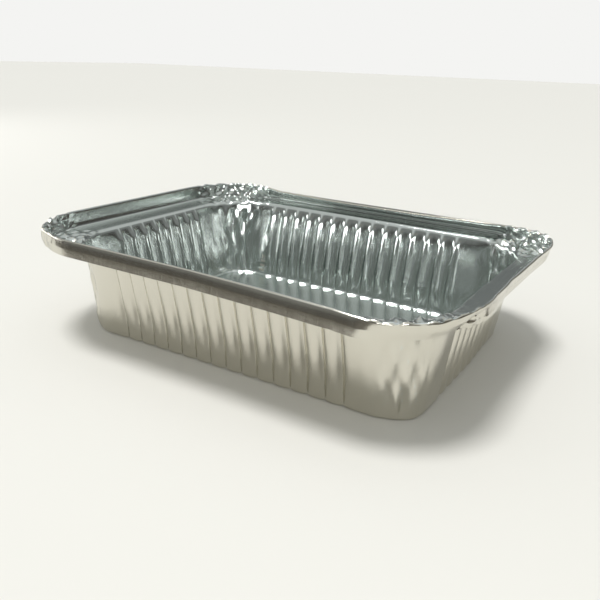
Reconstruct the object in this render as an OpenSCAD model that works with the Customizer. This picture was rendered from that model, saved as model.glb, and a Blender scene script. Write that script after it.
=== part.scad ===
// Pressed foil food tray with fluted walls, a ledge for a lid and an upright hemmed rim.
// One blank of thin foil is pressed in a single stroke: a flat floor, sloping walls
// with ribs pushed in, a flat ledge that a lid rests on, and a flange that stands up
// round it. The spare foil gathers into folds at the four corners. The edge of the
// blank is folded over the top of the flange and hangs down outside it as a hem.
// Lengths are in millimetres. X runs along the tray, Z is up, and the floor
// stands on z = 0.

/* [Rim] */

// Length over the hem of the rim
rim_l = 222; // [190:1:260]

// Width over the hem of the rim
rim_w = 174; // [156:1:200]

// Corner radius of the rim
rim_corner_r = 45; // [40:1:48]

// Width of the flat ledge that a lid rests on
ledge_w = 14; // [10:0.5:16]

// Height of the flange above the ledge
flange_h = 8.3; // [7.5:0.1:12]

// Lean of the flange outward, from the ledge to its top
flange_lean = 1.2; // [1:0.1:3]

// Height of the bend at the foot of the flange
bend_h = 2.4; // [1.6:0.2:3]

// Thickness across the fold on top of the flange
hem_d = 1.2; // [0.8:0.1:1.6]

// Length of the hem, down the outside of the flange
hem_drop = 6.4; // [3:0.2:6.8]

// How far the raw edge of the hem stands out from the fold
hem_flare = 1.2; // [0.4:0.1:2]

/* [Body] */

// Height of the ledge above the table
ledge_z = 44; // [32:1:60]

// Corner radius at the top of the wall
corner_r = 30; // [28:1:34]

// Corner radius at the foot of the wall
foot_corner_r = 15; // [12:1:20]

// Slope of the walls from the vertical, in degrees
draft = 10; // [7:0.1:12]

// Radius between the floor and the wall
floor_r = 2; // [1:0.5:5]

// Thickness of the foil
foil = 0.09; // [0.06:0.01:0.2]

/* [Ribs] */

// Ribs along each long wall
long_ribs = 15; // [8:1:15]

// Ribs along each short wall
short_ribs = 8; // [4:1:8]

// Spacing of the ribs of a long wall
long_pitch = 8.35; // [6:0.05:8.8]

// Spacing of the ribs of a short wall
short_pitch = 8.65; // [6:0.05:8.8]

// How far a rib is pushed in from the wall
rib_depth = 1.7; // [0.8:0.1:2.4]

// Height over which a rib runs out below the ledge
rib_fade = 3.5; // [2:0.5:6]

// How far the back wall's ribs stand to the side of the front wall's
rib_stagger = 3.8; // [0:0.1:4.2]

/* [Corner gathers] */

// Folds gathered in each corner of the wall
folds = 6; // [3:1:8]

// How far the deepest folds stand out of the wall
fold_depth = 1.1; // [0:0.1:1.6]

// How far the fine pleats of the rim stand out at the corners
pleat_depth = 0.45; // [0:0.05:0.6]

/* [Hidden] */

// Points along one rib, and along one corner
rib_steps = 6;
corner_steps = 24;

hem_r = hem_d / 2;
rim_z = ledge_z + flange_h;
rim_out = ledge_w + flange_lean + hem_d + hem_flare + foil / 2;

// The straight part of each wall, from the middle to where a corner starts
side_x = rim_l / 2 - rim_out - corner_r;
side_y = rim_w / 2 - rim_out - corner_r;
function is_long(c) = c % 2 == 0;
function reach(c) = is_long(c) ? side_x : side_y;
function pitch(c) = is_long(c) ? long_pitch : short_pitch;
function shift(c) = c == 0 ? rib_stagger : 0;

// Only as many ribs as the straight part of the wall has room for
function ribs(c) = min(is_long(c) ? long_ribs : short_ribs,
    floor(2 * (reach(c) - shift(c)) / pitch(c)) + 1);

// One section through the sheet, from the floor out to the raw edge.
// Each row holds: distance out of the top edge of the wall, height, share of
// the rib depth, share of the fold depth and share of the corner pleats.
turn = 90 - draft;
wall_z0 = foil / 2 + floor_r * (1 - cos(turn));
wall_o0 = -(ledge_z - wall_z0) * tan(draft);
floor_o = wall_o0 - floor_r * sin(turn);
wall_z1 = wall_z0 + (ledge_z - rib_fade - wall_z0) * 0.4;
wall_z2 = ledge_z - rib_fade;
flange_o = ledge_w + flange_lean;
hem_z = rim_z - hem_r;

section = [
    [floor_o, foil / 2, 0, 0, 0],
    [floor_o + floor_r * sin(turn / 2), foil / 2 + floor_r * (1 - cos(turn / 2)), 0.35, 0.5, 0],
    [wall_o0, wall_z0, 0.85, 1, 0],
    [-(ledge_z - wall_z1) * tan(draft), wall_z1, 1, 0.85, 0],
    [-(ledge_z - wall_z2) * tan(draft), wall_z2, 1, 0.4, 0],
    [0, ledge_z, 0, 0.1, 0],
    [ledge_w, ledge_z, 0, 0, 0.5],
    [ledge_w + 0.4 * flange_lean, ledge_z + bend_h, 0, 0, 1],
    [flange_o, hem_z, 0, 0, 1],
    [flange_o + hem_r, rim_z - foil / 2, 0, 0, 1],
    [flange_o + hem_d, hem_z, 0, 0, 1],
    [flange_o + hem_d + 0.7 * hem_flare, hem_z - 0.5 * hem_drop, 0, 0, 0.8],
    [flange_o + hem_d + hem_flare, hem_z - hem_drop, 0, 0, 0.8]
];
rows = len(section);

// Rows from here to here follow every rib, and the others only the corners.
// Rows after them belong to the rim.
fine_first = 1;
fine_last = 5;
wall_foot = 2;

// Corner radius at a row: it grows up the wall, and the rim has one of its own
function corner_radius(k) = let (out = section[k][0])
    k > fine_last ? rim_corner_r - rim_out + out
    : min(corner_r + out, foot_corner_r + (corner_r - foot_corner_r) * section[k][1] / ledge_z);

// How much nearer to the corner a row's corner starts than that of the wall's top edge
function start(k) = let (j = max(k, wall_foot)) corner_r + section[j][0] - corner_radius(j);

// Direction square to the sheet at a row, towards its outer face
function unit(v) = v / norm(v);
function heading(a, b) = unit([section[b][0] - section[a][0], section[b][1] - section[a][1]]);
function along(k) = k == 0 ? [1, 0]
    : k == rows - 1 ? heading(k - 1, k)
    : unit(heading(k - 1, k) + heading(k, k + 1));
function outward(k) = [along(k)[1], -along(k)[0]];

// Share of a rib's depth, a number of pitches from its ridge: sharp ridges between round flutes
function ridge(pitches) = pitches < 0.5 ? 1 - sin(180 * pitches) : 0;

// Share at a distance round the corner, from the rib nearest to the corner on wall c
function ridge_near(c, end, distance) = let (
        room = reach(c) - end * shift(c) - (ribs(c) - 1) / 2 * pitch(c)
    ) ridge((room + distance) / pitch(c));

// Places round the tray, as [anchor x, anchor y, direction, share of the rib depth,
// corner number or -1, share of the way round the corner]. The anchor is the
// centre of the corner, or the point opposite on the straight wall.
function corner(c) = let (
        cx = (c == 0 || c == 3) ? side_x : -side_x,
        cy = (c < 2) ? side_y : -side_y
    ) [for (i = [0:corner_steps]) let (t = i / corner_steps) [cx, cy, 90 * (c + t), 0, c, t]];

function side(c) = [for (i = [0:ribs(c) * rib_steps]) let (
        s = (i / rib_steps - ribs(c) / 2) * pitch(c) + shift(c),
        from_ridge = abs(i / rib_steps - floor(i / rib_steps) - 0.5)
    ) if (abs(s) < reach(c) - 0.1 * pitch(c))
        [c == 0 ? -s : c == 1 ? -side_x : c == 2 ? s : side_x,
         c == 0 ? side_y : c == 1 ? -s : c == 2 ? -side_y : s,
         90 * (c + 1), ridge(from_ridge), -1, 0]];

fine = [for (c = [0:3]) each concat(corner(c), side(c))];
coarse = [for (c = [0:3]) each corner(c)];

// The place of the coarse ring that each place of the fine ring hangs on
function hang(c) = let (n = len(side(c)), first = c * (corner_steps + 1)) concat(
    [for (i = [0:corner_steps]) first + i],
    [for (i = [1:n]) i <= n / 2 ? first + corner_steps : (first + corner_steps + 1) % len(coarse)]);
hanger = [for (c = [0:3]) each hang(c)];

// Folds of the wall in a corner: widest at the top, deepest near the floor
function lens(t, h) = max(0, 1 - pow((2 * t - 1) / (0.62 + 0.2 * h), 2));
function fold(c, t, h) = lens(t, h)
    * sin(360 * (folds * t + 0.16 * sin(210 * h + 100 * c)) + 70 * c);

// Fine pleats of the rim in a corner, out at one point and in at the next
function pleat(c, t) = sin(180 * t) * cos(180 * t * corner_steps)
    * (0.75 + 0.25 * sin(900 * t + 80 * c));

// One point of the sheet, at row k and place p, on side -1 (inner) or 1 (outer)
function point(k, p, side) = let (
        row = section[k],
        h = min(1, row[1] / ledge_z),
        c = p[4],
        t = p[5],
        in_corner = c >= 0,
        lead = in_corner ? start(k) : 0,
        arc = corner_radius(k) * PI / 2,
        depth = in_corner ? ridge_near((c + 3) % 4, 1, lead + arc * t)
            + ridge_near(c, -1, lead + arc * (1 - t)) : p[3],
        bulge = -rib_depth * row[2] * depth
            + (in_corner ? fold_depth * row[3] * fold(c, t, h) + pleat_depth * row[4] * pleat(c, t) : 0),
        out = corner_r + row[0] + bulge + side * outward(k)[0] * foil / 2 - lead,
        up = row[1] + side * outward(k)[1] * foil / 2
    ) [p[0] + sign(p[0]) * lead + out * cos(p[2]), p[1] + sign(p[1]) * lead + out * sin(p[2]), up];

function is_fine(k) = k >= fine_first && k <= fine_last;
function ring(k, side) = [for (p = is_fine(k) ? fine : coarse) point(k, p, side)];

// First point number of each row, the outer face first and then the inner face
sizes = [for (k = [0:rows - 1]) is_fine(k) ? len(fine) : len(coarse)];
function total(k) = k == 0 ? 0 : total(k - 1) + sizes[k - 1];
face_points = total(rows);
function first(k, side) = total(k) + (side > 0 ? 0 : face_points);

function flip(list, side) = side > 0 ? list : [for (f = list) [f[0], f[2], f[1]]];

// Triangles between two rings of equal count
function band(a, b, n) = [for (i = [0:n - 1]) let (j = (i + 1) % n)
    each [[a + i, b + i, b + j], [a + i, b + j, a + j]]];

// Triangles between a coarse ring and a fine ring that hangs on it
function fan(a, b) = [for (i = [0:len(fine) - 1]) let (
        j = (i + 1) % len(fine),
        p = hanger[i],
        q = hanger[j]
    ) each concat([[a + p, b + i, b + j]], p == q ? [] : [[a + p, b + j, a + q]])];

function strip(k, side) = let (a = first(k, side), b = first(k + 1, side))
    is_fine(k) == is_fine(k + 1) ? flip(band(a, b, sizes[k]), side)
    : is_fine(k + 1) ? flip(fan(a, b), side)
    : flip(fan(b, a), -side);

// The floor is one flat face, and the raw edge joins the two faces of the sheet
function floor_face(side) = let (a = first(0, side))
    side > 0 ? [for (i = [0:len(coarse) - 1]) a + i]
    : [for (i = [0:len(coarse) - 1]) a + len(coarse) - 1 - i];
raw_edge = band(first(rows - 1, 1), first(rows - 1, -1), len(coarse));

module foil_tray() {
    color([0.8, 0.81, 0.82])
    polyhedron(
        points = [for (side = [1, -1]) for (k = [0:rows - 1]) each ring(k, side)],
        faces = concat(
            [for (side = [1, -1]) for (k = [0:rows - 2]) each strip(k, side)],
            [floor_face(1), floor_face(-1)],
            raw_edge),
        convexity = 8);
}

foil_tray();
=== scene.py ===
import math

import bpy
import numpy as np
from mathutils import Euler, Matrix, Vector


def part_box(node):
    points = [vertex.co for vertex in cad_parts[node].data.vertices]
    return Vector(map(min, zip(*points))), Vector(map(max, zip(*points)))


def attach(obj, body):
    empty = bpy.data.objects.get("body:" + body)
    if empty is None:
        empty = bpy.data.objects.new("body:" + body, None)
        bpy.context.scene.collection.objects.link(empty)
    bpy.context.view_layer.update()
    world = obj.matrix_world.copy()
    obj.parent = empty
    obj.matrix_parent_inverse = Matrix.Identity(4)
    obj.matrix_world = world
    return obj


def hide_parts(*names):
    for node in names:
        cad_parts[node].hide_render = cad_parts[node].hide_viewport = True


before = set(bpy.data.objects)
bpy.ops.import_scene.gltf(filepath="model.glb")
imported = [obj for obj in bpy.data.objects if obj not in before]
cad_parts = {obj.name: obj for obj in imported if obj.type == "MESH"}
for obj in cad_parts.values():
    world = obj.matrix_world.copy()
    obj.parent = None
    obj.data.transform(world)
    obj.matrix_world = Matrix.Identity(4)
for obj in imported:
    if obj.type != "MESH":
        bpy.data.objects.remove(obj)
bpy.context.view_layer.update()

# Pressed foil tray
# One blank of rolled aluminium foil, pressed in a single stroke. Flutes stiffen the walls, the spare foil gathers
# in folds at the corners, and the raw edge is folded over the flange and hangs outside it as a hem. In millimetres.
MM = 0.001
_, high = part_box("foil_tray")
rim_x, rim_y, rim_z = np.array(high) / MM
foil = 0.09
ledge_w = 14.0
ledge_z = 44.0
bend_h = 2.4
flange_lean = 1.2
hem_d = 1.2
hem_drop = 6.4
hem_flare = 1.2
hem_bow_r = 2.5
rim_corner_r = 45.0
corner_r = 30.0
foot_corner_r = 15.0
draft = math.radians(10)
floor_r = 2.0
edge_r = 2.6
rib_fade = 2.8
rib_depth = 2.5
ridge_half_width = 0.26
long_ribs, long_pitch = 15, 8.35
short_ribs, short_pitch = 8, 8.65
rib_stagger = 3.8

hem_r = hem_d / 2
rim_out = ledge_w + flange_lean + hem_d + hem_flare + foil / 2
side_x = rim_x - rim_out - corner_r
side_y = rim_y - rim_out - corner_r
dice = np.random.default_rng(7)

# Handling has bent the rim: the lean of the flange and hem, the tuck of the hem alone and the inset of the whole
# rim are given at stations round the tray. 0 to 1 is the right back corner, 1 to 2 the back wall, and so on.
lean_at = [0, 0.15, 0.25, 0.5, 0.75, 1.0, 1.3, 1.7, 2.0, 2.25, 2.5, 4.4, 4.55, 4.75, 5.5, 5.75, 6.0,
           6.25, 6.5, 6.75, 7.0, 7.15, 7.4, 8]
lean_deg = [1, -5, -10, -35, -56, -67, -76, -75, -66, -31, 0, 0, 12, 0, 1, 9, 19,
            40, 35, 8, -12, -3, 1, 1]
tuck_at = [0, 0.2, 0.6, 1.0, 4.5, 4.75, 5.0, 5.5, 5.75, 6.0, 6.12, 6.25, 6.4, 6.5, 6.62, 6.75, 6.9, 7.1, 7.35,
           7.7, 8]
tuck_deg = [37, 35, 15, 0, 2, 10, 0, -1, -10, -19, -27, -12, -6, 0, 16, 40, 48, 42, 33, 30, 37]
inset_at = [0, 1, 7, 7.25, 7.75, 8]
inset_mm = [1.5, 0, 0, 2, 2, 1.5]


def smooth(x):
    """Smooth step: 0 below 0, 1 above 1, and 3x^2 - 2x^3 between."""
    x = np.clip(x, 0, 1)
    return x * x * (3 - 2 * x)


def zigzag(x):
    """Triangle wave of period 1 between -1 and 1: flat facets that meet in sharp creases."""
    return 4 * np.abs(x - np.floor(x + 0.5)) - 1


def rounded(points, radii, arc_steps, line_steps):
    """Section polyline with each inner corner turned into an arc of its radius.

    An arc touches both lines at radius times the tangent of half the turn from the corner, and
    its points are a quadratic blend of the two touching points and the corner.
    """
    points = [np.array(p, float) for p in points]
    run = [points[0]]
    for before, here, after, radius, steps in zip(points, points[1:], points[2:], radii, arc_steps):
        a = (before - here) / np.linalg.norm(before - here)
        b = (after - here) / np.linalg.norm(after - here)
        half_turn = (math.pi - math.acos(np.clip(a @ b, -1, 1))) / 2
        reach = radius * math.tan(half_turn)
        t = np.linspace(0, 1, steps + 1)[:, None]
        arc = (1 - t) ** 2 * (here + a * reach) + 2 * t * (1 - t) * here + t ** 2 * (here + b * reach)
        run.append(arc)
    run.append(points[-1])
    rows = [np.atleast_2d(run[0])]
    for piece, steps in zip(run[1:], line_steps):
        start, stop = rows[-1][-1], np.atleast_2d(piece)[0]
        t = np.linspace(0, 1, steps + 1)[1:, None]
        rows.append(start + (stop - start) * t)
        if piece.ndim == 2:
            rows.append(piece[1:])
    return np.concatenate(rows)


def section():
    """Rows of the sheet's section, from the start of the floor radius to the raw edge.

    Each row is the distance outward from the top edge of the wall, and the height.
    """
    foot = -ledge_z * math.tan(draft)
    reach = floor_r * math.tan((math.pi / 2 - draft) / 2)
    top = ledge_w + flange_lean
    points = [
        (foot - reach - 0.01, 0), (foot, 0), (0, ledge_z), (ledge_w, ledge_z),
        (ledge_w + 0.4 * flange_lean, ledge_z + bend_h), (top, rim_z - foil), (top + hem_d, rim_z - foil),
        (top + hem_d + 0.8 * hem_flare, rim_z - hem_r - 0.46 * hem_drop),
        (top + hem_d + hem_flare, rim_z - hem_r - hem_drop)]
    return rounded(points, [floor_r, edge_r, 0.7, 1.2, hem_r, hem_r, hem_bow_r], [4, 4, 3, 2, 3, 3, 2],
                   [1, 14, 8, 2, 6, 1, 2, 2])


def path():
    """Places round the tray, as columns: anchor x, anchor y, direction of the outward normal, distance along
    the wall, share of the way round the corner, number of the corner or -1 on a wall, and station.

    A place lies at its anchor plus its normal times the corner radius plus the section's distance.
    """
    ridge_to_ridge = np.array([-0.5, -0.34, -0.21, -0.15, -0.1, -0.05, 0, 0.05, 0.1, 0.15, 0.21, 0.34])
    corner_steps = 62
    places = []
    for c in range(4):
        cx = side_x if c in (0, 3) else -side_x
        cy = side_y if c in (0, 1) else -side_y
        t = np.linspace(0, 1, corner_steps + 1)
        full = np.ones_like(t)
        places.append(np.stack([cx * full, cy * full, math.pi / 2 * (c + t), 0 * t, t, c * full, 2 * c + t], 1))
        count, pitch, half = (long_ribs, long_pitch, side_x) if c in (0, 2) else (short_ribs, short_pitch, side_y)
        ridges = (np.arange(count) - (count - 1) / 2) * pitch + (rib_stagger if c == 0 else 0)
        along = (ridges[:, None] + ridge_to_ridge * pitch).ravel()
        plain = np.linspace(abs(ridges).max() + pitch / 2, half, 4)[:-1]
        along = np.unique(np.round(np.concatenate([-plain, along, plain]), 3))
        along = along[np.abs(along) < half - 0.4]
        full = np.ones_like(along)
        x = {0: -along, 1: -side_x * full, 2: along, 3: side_x * full}[c]
        y = {0: side_y * full, 1: -along, 2: -side_y * full, 3: along}[c]
        station = 2 * c + 1.5 + along / half / 2
        places.append(np.stack([x, y, math.pi / 2 * (c + 1) * full, along, 0 * full, -full, station], 1))
    return np.concatenate(places)


def bent(rows, station):
    """Section with its rim bent, as two arrays of rows by places: distance outward and height.

    Each step of the section above the bend is turned outward by the lean there, each step of the hem by the
    tuck too, and the steps are added up again from the floor.
    """
    lean = np.interp(station, lean_at, lean_deg)
    tuck = np.interp(station, tuck_at, tuck_deg)
    step = np.diff(rows, axis=0)
    middle = (rows[1:] + rows[:-1]) / 2
    number = np.arange(len(step))
    top = int(np.argmax(rows[:, 1]))
    turned = smooth((middle[:, 1] - ledge_z - 0.3) / (bend_h + 0.4)) * (middle[:, 0] > ledge_w - 0.8)
    turned[top:] = 1
    angle = np.radians(turned[:, None] * lean + (number > top + 1)[:, None] * tuck)
    out = step[:, :1] * np.cos(angle) + step[:, 1:] * np.sin(angle)
    up = step[:, 1:] * np.cos(angle) - step[:, :1] * np.sin(angle)
    still = np.zeros((1, len(station)))
    inset = np.interp(station, inset_at, inset_mm) * smooth(rows[:, :1] / 3)
    return (rows[0, 0] + np.concatenate([still, np.cumsum(out, 0)]) - inset,
            rows[0, 1] + np.concatenate([still, np.cumsum(up, 0)]))


def flute(along, wall):
    """Share of the rib depth at a distance along a wall: narrow ridges pushed in, round flutes between.

    The flute is one less the sine of the way from the ridge, its tip rounded by a small square under the root.
    The ridge is a raised cosine, a quarter of a pitch to each side. The share is three parts flute, two ridge.
    """
    long = (wall % 2) == 0
    pitch = np.where(long, long_pitch, short_pitch)
    count = np.where(long, long_ribs, short_ribs)
    place = (along - np.where(wall == 0, rib_stagger, 0)) / pitch + (count - 1) / 2
    away = np.abs(place - np.clip(np.round(place), 0, count - 1))
    tip_square, tip_lift = 0.003, 0.055
    round_flute = 1 - np.sqrt(np.sin(math.pi * np.minimum(away, 0.5)) ** 2 + tip_square) + tip_lift
    ridge = 0.5 + 0.5 * np.cos(math.pi * np.minimum(away / ridge_half_width, 1))
    return 0.6 * np.clip(round_flute, 0, 1) + 0.4 * ridge


def creases(x, y, lengths):
    """Crumpled foil: zigzag waves of the given lengths in random directions, each as high as it is long."""
    total = 0
    for length in lengths:
        heading = dice.uniform(0, math.pi)
        total = total + length / lengths[0] * zigzag(
            (x * math.cos(heading) + y * math.sin(heading)) / length + dice.uniform())
    return total / len(lengths) ** 0.5


def sheet_points():
    """Middle surface of the sheet and its coordinates round and across it, as arrays of rows by places.

    The corners of the wall widen towards the top, and those of the rim have a radius of their own. The ribs
    move the wall inward. The folds of a corner are zigzags inside a lens, the rim's corners are crumpled, and
    both move the sheet along the section's normal.
    """
    rows = section()
    place = path()
    out0, up0 = rows[:, :1], rows[:, 1:]
    ax, ay, turn, along, t, corner, station = (column[None, :] for column in place.T)
    out, up = bent(rows, station[0])
    index = np.arange(len(rows))[:, None]
    top = int(np.argmax(rows[:, 1]))
    on_wall = index <= int(np.argmax(rows[:, 0] > -0.02))
    height = np.clip(up0 / ledge_z, 0, 1)
    in_corner = corner >= 0

    foot = np.maximum(out0, -ledge_z * math.tan(draft))
    wall_radius = foot_corner_r + (corner_r - foot_corner_r) * height
    ledge_radius = corner_r + (rim_corner_r - rim_out + ledge_w - corner_r) * np.clip(out0 / ledge_w, 0, 1)
    radius = np.where(on_wall, wall_radius,
                      np.where(out0 < ledge_w, ledge_radius, rim_corner_r - rim_out + out0))
    lead = np.where(in_corner, corner_r + foot - radius, 0)
    arc = radius * math.pi / 2
    across = np.where(in_corner, (t - 0.5) * arc, 0)
    run = np.concatenate([[0], np.cumsum(np.linalg.norm(np.diff(rows, axis=0), axis=1))])[:, None]

    wall = np.where(in_corner, corner, np.floor((station - 1) / 2))
    half = np.where(wall % 2 == 0, side_x, side_y)
    before = np.where((wall - 1) % 2 == 0, side_x, side_y)
    on_next = flute(np.where(in_corner, -(half + lead + arc * (1 - t)), along), wall)
    on_last = flute(before + lead + arc * t, (wall - 1) % 4) * in_corner
    # The ridges run out to points under the ledge, and are shallow at the foot and deepest a third of the way up.
    fade = np.clip((ledge_z - 1.6 - up0) / rib_fade, 0, 1) * on_wall
    uneven = 1 + 0.06 * np.sin(along / 3.1) * np.sin(along / 7.7 + wall)
    depth_share = np.minimum(1.15 - 0.6 * height, 0.4 + up0 / 22)
    rib = -rib_depth * depth_share * uneven * np.maximum(np.maximum(on_next, on_last) - (1 - fade), 0)

    # The wall's corners: folds up the wall, which sway, slanted creases and fine crumples.
    lens = smooth(1.5 - np.abs(2 * t - 1) * (2.0 - 0.35 * height)) * in_corner
    sway = 0.30 * np.sin(up0 / 9.0 + 1.7 * corner) + 0.10 * np.sin(up0 / 3.9 + 2.9 * corner)
    gather = zigzag(5.6 * (t - 0.5) + sway + 0.37 * corner)
    slanted = zigzag(across / 8.5 + up0 / 19.0 + 0.21 * corner) + zigzag(across / 7.3 - up0 / 24.0 + 0.4 * corner)
    crumple = creases(across + 61 * corner, run, [6.0, 4.4, 3.3, 2.6])
    fold_share = smooth(up0 / 3.0) * smooth((ledge_z + 0.2 - up0) / 4.0) * on_wall
    fold = (0.62 * (1.15 - height) * gather + 0.30 * slanted + 0.10 * crumple) * lens * fold_share

    # The rim's corners: crumples and short pleats, stronger on the ledge and flange than on the hem.
    rim = smooth((out0 + 0.5) / 2.0) * in_corner * smooth(1.5 - np.abs(2 * t - 1) * 1.5)
    on_hem = smooth((index - top - 1) / 2)
    rough = creases(across + 47 * corner, run, [7.6, 5.6, 4.2, 3.1, 2.3])
    pleats = zigzag(across / 4.6 + 0.3 * np.sin(run / 2.3 + corner)) + 0.6 * zigzag(across / 6.9 + run / 8.0)
    whole = np.clip(corner, 0, 3).astype(int)
    hem_share = np.array([0.9, 0.8, 0.9, 0.3])[whole]
    flange_share = np.array([1.35, 1.0, 1.3, 1.15])[whole]
    rim_fold = (0.85 * rough + 0.3 * pleats) * rim * (flange_share * (1 - on_hem) + on_hem * 0.6 * hem_share)

    step = np.gradient(rows, axis=0)
    step /= np.linalg.norm(step, axis=1)[:, None]
    normal_out, normal_up = step[:, 1:], -step[:, :1]
    bump = fold + rim_fold
    foot_bulge = 2.2 * np.interp(station, [6.3, 6.7, 7.6, 8], [0, 1, 0.8, 0])
    bulge = foot_bulge * (1 - 0.8 * height) * (index <= top)
    reach = corner_r + out + rib + bulge * on_wall - lead + normal_out * bump
    x = ax + np.sign(ax) * lead + reach * np.cos(turn)
    y = ay + np.sign(ay) * lead + reach * np.sin(turn)
    z = up + foil / 2 + normal_up * bump + 0 * x
    rim_steps = np.hypot(np.diff(x[top], prepend=x[top, 0]), np.diff(y[top], prepend=y[top, 0]))
    around = np.cumsum(rim_steps)
    return x, y, z, around + 0 * x, run + 0 * x, top


def waves(x, y, z, count, longest, shortest):
    """Gentle unevenness of pressed foil: a sum of sine waves in random directions, each as high as it is long."""
    total = 0
    for length in np.geomspace(longest, shortest, count):
        k = dice.normal(size=3)
        k *= 2 * math.pi / length / np.linalg.norm(k)
        total = total + length / longest * np.sin(k[0] * x + k[1] * y + k[2] * z + dice.uniform(0, 6.28))
    return total / count ** 0.5


def foil_mesh():
    """Closed thin shell: the middle surface moved half a thickness to each side along its normals.

    The floor is the first row drawn in towards the middle, in shrinking copies. The normal is the cross
    product of the steps along and across the sheet. The two faces share the strip at the raw edge, and each
    is closed in the middle of the floor by a ring of triangles. Returns the points, the faces, the point
    coordinates on the sheet and the share of each point that faces outward.
    """
    x, y, z, around, run, top = sheet_points()
    wave_height, longest, shortest = 0.05, 60.0, 9.0
    shares = np.array([0, 0.35, 0.7, 0.92])[:, None]
    inner = len(shares)
    x, y = (np.concatenate([shares * row[:1], row]) for row in (x, y))
    z, around = (np.concatenate([row[:1] + 0 * shares, row]) for row in (z, around))
    run = np.concatenate([(shares - 1) * 60 + 0 * run[:1], run])
    rows, places = x.shape
    points = np.stack([x, y, z], 2)
    wrapped = np.concatenate([points[:, -1:], points, points[:, :1]], 1)
    normal = np.cross(wrapped[:, 2:] - wrapped[:, :-2], np.gradient(points, axis=0))
    normal /= np.maximum(np.linalg.norm(normal, axis=2, keepdims=True), 1e-9)
    normal[:inner] = (0, 0, -1)
    rise = smooth(np.arange(rows) / 9 - 0.6)[:, None]
    points = points + normal * (wave_height * waves(x, y, z, 14, longest, shortest) * rise)[..., None]
    skins = []
    for side in (1, -1):
        skin = points + side * normal * foil / 2
        skins += [skin[1:].reshape(-1, 3), [[0, 0, skin[0, :, 2].mean()]]]
    count = (rows - 1) * places
    faces = []
    for number, side in enumerate((1, -1)):
        base = number * (count + 1)
        grid = base + np.arange(count).reshape(rows - 1, places)
        near, far = grid[:-1], grid[1:]
        quads = np.stack([near, far, np.roll(far, -1, 1), np.roll(near, -1, 1)], 2).reshape(-1, 4)
        hub = np.full(places, base + count)
        ring = np.stack([hub, grid[0], np.roll(grid[0], -1)], 1)
        faces += [quads, ring] if side < 0 else [quads[:, ::-1], ring[:, ::-1]]
    outer_edge = (rows - 2) * places + np.arange(places)
    inner_edge = outer_edge + count + 1
    faces.append(np.stack([outer_edge, np.roll(outer_edge, -1), np.roll(inner_edge, -1), inner_edge], 1))
    sheet = np.stack([around[1:].ravel(), run[1:].ravel(), 0 * run[1:].ravel()], 1)
    sheet = np.concatenate([sheet, [[0, -60, 0]], sheet, [[0, -60, 0]]])
    before_fold = (np.arange(1, rows) <= inner + top)[:, None] + np.zeros(places)
    outward = np.concatenate([before_fold.ravel(), [1], 1 - before_fold.ravel(), [0]])
    return np.concatenate(skins) * MM, [face for block in faces for face in block.tolist()], sheet, outward


def tint(hex_code):
    """Linear colour of an sRGB hex code."""
    srgb = np.array([int(hex_code[i:i + 2], 16) for i in (1, 3, 5)]) / 255
    linear = np.where(srgb <= 0.04045, srgb / 12.92, ((srgb + 0.055) / 1.055) ** 2.4)
    return (*linear, 1.0)


def add_node(tree, kind, settings=None, links=None):
    """Adds a node, sets its sockets and properties by name, and links its inputs to other nodes' outputs."""
    node = tree.nodes.new(kind)
    for name, value in (settings or {}).items():
        if hasattr(node, name):
            setattr(node, name, value)
        else:
            node.inputs[name].default_value = value
    for name, output in (links or {}).items():
        tree.links.new(output, node.inputs[name])
    return node


def rolled_foil():
    """Bright rolled aluminium foil: a mirror finish broken by fine draw lines that run up the sheet, duller on the
    matt side of the foil, which faces outward. The outward side's colour is tinted warm and the inward side's cool
    and greenish. This tint is a painted reflection of a warm table and a cool room, not a colour of the foil.

    The real lines are a few hundredths of a millimetre apart. They are drawn about 0.6 mm apart, 1.6 to a
    millimetre, so that they show. The crinkle is about 4.5 mm wide, 220 to a metre.
    """
    material = bpy.data.materials.new("rolled_aluminium_foil")
    material.use_nodes = True
    tree = material.node_tree
    tree.nodes.clear()
    side = add_node(tree, "ShaderNodeAttribute", {"attribute_name": "faces_out"})
    colour = add_node(tree, "ShaderNodeMix", {"data_type": "RGBA"}, {"Factor": side.outputs["Fac"]})
    # Painted reflection: the inward side (A) is tinted cool and greenish and the outward side (B) warm, standing in
    # for the cool room and the warm table that each side mirrors.
    colour.inputs["A"].default_value = tint("#D8DDDA")
    colour.inputs["B"].default_value = tint("#DAD7CC")
    sheet = add_node(tree, "ShaderNodeAttribute", {"attribute_name": "sheet_mm"})
    drawn = add_node(tree, "ShaderNodeMapping", {"Scale": (1.6, 0.05, 1.0)},
                     {"Vector": sheet.outputs["Vector"]})
    lines = add_node(tree, "ShaderNodeTexNoise", {"Scale": 1.0, "Detail": 3.0, "Roughness": 0.6},
                     {"Vector": drawn.outputs["Vector"]})
    dull = add_node(tree, "ShaderNodeMapRange", {"To Min": 0.05, "To Max": 0.15},
                    {"Value": side.outputs["Fac"]})
    rough = add_node(tree, "ShaderNodeMath", {"operation": "MULTIPLY_ADD"})
    tree.links.new(lines.outputs["Fac"], rough.inputs[0])
    rough.inputs[1].default_value = 0.12
    tree.links.new(dull.outputs["Result"], rough.inputs[2])
    place = add_node(tree, "ShaderNodeTexCoord")
    crinkle = add_node(tree, "ShaderNodeTexNoise", {"Scale": 220.0, "Detail": 2.0},
                       {"Vector": place.outputs["Object"]})
    streaks = add_node(tree, "ShaderNodeBump", {"Strength": 0.4, "Distance": 0.00015},
                       {"Height": lines.outputs["Fac"]})
    bump = add_node(tree, "ShaderNodeBump", {"Strength": 0.25, "Distance": 0.0002},
                    {"Height": crinkle.outputs["Fac"], "Normal": streaks.outputs["Normal"]})
    shader = add_node(tree, "ShaderNodeBsdfPrincipled", {"Metallic": 1.0},
                      {"Base Color": colour.outputs["Result"], "Roughness": rough.outputs["Value"],
                       "Normal": bump.outputs["Normal"]})
    add_node(tree, "ShaderNodeOutputMaterial", links={"Surface": shader.outputs["BSDF"]})
    return material


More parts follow.
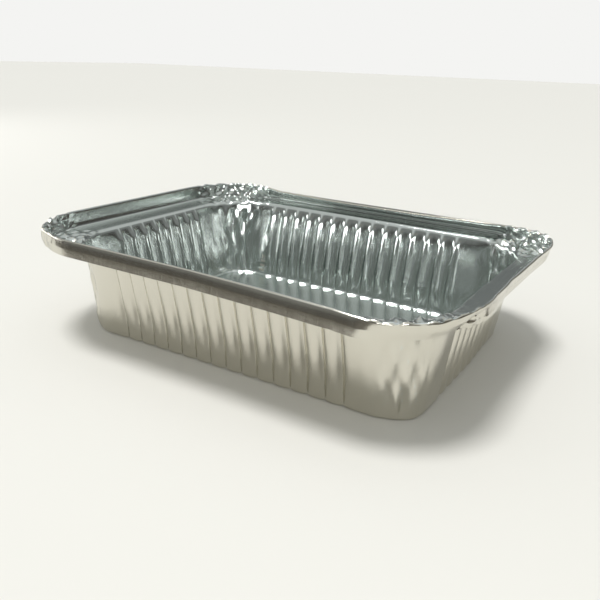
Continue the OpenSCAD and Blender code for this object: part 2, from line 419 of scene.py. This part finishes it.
points, faces, sheet_mm, faces_out = foil_mesh()
mesh = bpy.data.meshes.new("pressed_foil")
mesh.from_pydata(points, [], faces)
mesh.polygons.foreach_set("use_smooth", np.ones(len(mesh.polygons), bool))
mesh.attributes.new("faces_out", "FLOAT", "POINT").data.foreach_set("value", faces_out.astype(np.float32))
mesh.attributes.new("sheet_mm", "FLOAT_VECTOR", "POINT").data.foreach_set(
    "vector", sheet_mm.astype(np.float32).ravel())
sharpest_bend = math.radians(38)
mesh.set_sharp_from_angle(angle=sharpest_bend)
mesh.materials.append(rolled_foil())
pressed_foil = bpy.data.objects.new("pressed_foil", mesh)
bpy.context.collection.objects.link(pressed_foil)
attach(pressed_foil, "root")
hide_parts("foil_tray")

# Floor
# A plain matt table top of painted board, which ends in front of the tray and to its right, just outside the
# view. The near hem mirrors the dim room past its edge.
floor_mesh = bpy.data.meshes.new("table_top")
front, right, far, under = -0.205, 0.175, 6.0, -1e-5
floor_mesh.from_pydata([(-far, front, under), (right, front, under), (right, far, under), (-far, far, under)],
                       [], [(0, 1, 2, 3)])
matt_white = bpy.data.materials.new("matt_white_board")
matt_white.use_nodes = True
board = matt_white.node_tree.nodes["Principled BSDF"]
board.inputs["Base Color"].default_value = tint("#DDDBD5")
board.inputs["Roughness"].default_value = 0.9
floor_mesh.materials.append(matt_white)
table_top = bpy.data.objects.new("table_top", floor_mesh)
bpy.context.collection.objects.link(table_top)

# Light
# A room with a pale wall behind the tray and dim walls under a lighter ceiling all round. One soft lamp high up,
# a little in front and to the left, and two low windows at the sides of the camera, which the ridges mirror.
world = bpy.data.worlds.new("pale_room")
bpy.context.scene.world = world
world.use_nodes = True
sky = world.node_tree
sky.nodes.clear()
where = add_node(sky, "ShaderNodeTexCoord")
split = add_node(sky, "ShaderNodeSeparateXYZ", links={"Vector": where.outputs["Generated"]})


def height_ramp(stops):
    """Colour ramp over the height of a direction above the horizon, from pairs of height and colour."""
    ramp = add_node(sky, "ShaderNodeValToRGB", links={"Fac": split.outputs["Z"]})
    stop = ramp.color_ramp.elements
    while len(stop) < len(stops):
        stop.new(0.5)
    for element, (position, colour) in zip(stop, stops):
        element.position = position
        element.color = tint(colour)
    return ramp.outputs["Color"]


behind_tray = height_ramp([(0.085, "#F4F4F2"), (0.14, "#6A6D6C"), (0.34, "#767978"), (0.6, "#A9ADAC"),
                           (0.85, "#B9BDBC"), (1.0, "#F2F4F4")])
behind_camera = height_ramp([(0.0, "#5E5A53"), (0.1, "#3E3D3A"), (0.22, "#828482"), (0.4, "#7F8280"),
                             (0.6, "#C9CCCA"), (0.85, "#C2C6C4"), (1.0, "#F2F4F4")])
towards_view = add_node(sky, "ShaderNodeVectorMath", {"operation": "DOT_PRODUCT"},
                        {"Vector": where.outputs["Generated"]})
towards_view.inputs[1].default_value = (-0.52, 0.85, 0)
side_to_side = add_node(sky, "ShaderNodeMapRange", {"From Min": 0.72, "From Max": 0.86},
                        {"Value": towards_view.outputs["Value"]})
room = add_node(sky, "ShaderNodeMix", {"data_type": "RGBA"}, {"Factor": side_to_side.outputs["Result"]})
sky.links.new(behind_camera, room.inputs["A"])
sky.links.new(behind_tray, room.inputs["B"])
glow = add_node(sky, "ShaderNodeBackground", links={"Color": room.outputs["Result"]})
add_node(sky, "ShaderNodeOutputWorld", links={"Surface": glow.outputs["Background"]})

lamp_data = bpy.data.lights.new("high_soft_lamp", "SUN")
lamp_data.energy = 2.15
lamp_data.angle = math.radians(18)
high_lamp = bpy.data.objects.new("high_soft_lamp", lamp_data)
high_lamp.rotation_euler = Euler((math.radians(11), 0, math.radians(-35)))
bpy.context.collection.objects.link(high_lamp)

window_distance, window_height, window_tall = 1.2, 0.21, 0.3
for side, bearing, wide, energy in (("right", 34, 0.5, 3.2), ("left", -84, 0.8, 3.0)):
    bearing = math.radians(bearing)
    window_data = bpy.data.lights.new(side + "_window", "AREA")
    window_data.shape = "RECTANGLE"
    window_data.size = wide
    window_data.size_y = window_tall
    window_data.energy = energy
    window = bpy.data.objects.new(side + "_window", window_data)
    window.location = (window_distance * math.sin(bearing), -window_distance * math.cos(bearing), window_height)
    window.rotation_euler = Euler((math.radians(80), 0, bearing))
    bpy.context.collection.objects.link(window)

# Camera
# The photograph's viewpoint: in front and to the right, looking down at about twenty degrees.
camera_data = bpy.data.cameras.new("camera")
camera_data.sensor_width = 36
camera_data.lens = 40.53
camera_data.clip_start = 0.01
camera = bpy.data.objects.new("camera", camera_data)
camera.location = (0.1667, -0.2735, 0.1299)
down, left, roll = math.radians(19.76), math.radians(31.33), math.radians(1.97)
aim = Euler((math.pi / 2 - down, 0, left)).to_matrix() @ Euler((0, 0, roll)).to_matrix()
camera.rotation_euler = aim.to_euler()
bpy.context.collection.objects.link(camera)
bpy.context.scene.camera = camera

scene = bpy.context.scene
scene.view_settings.view_transform = "Standard"
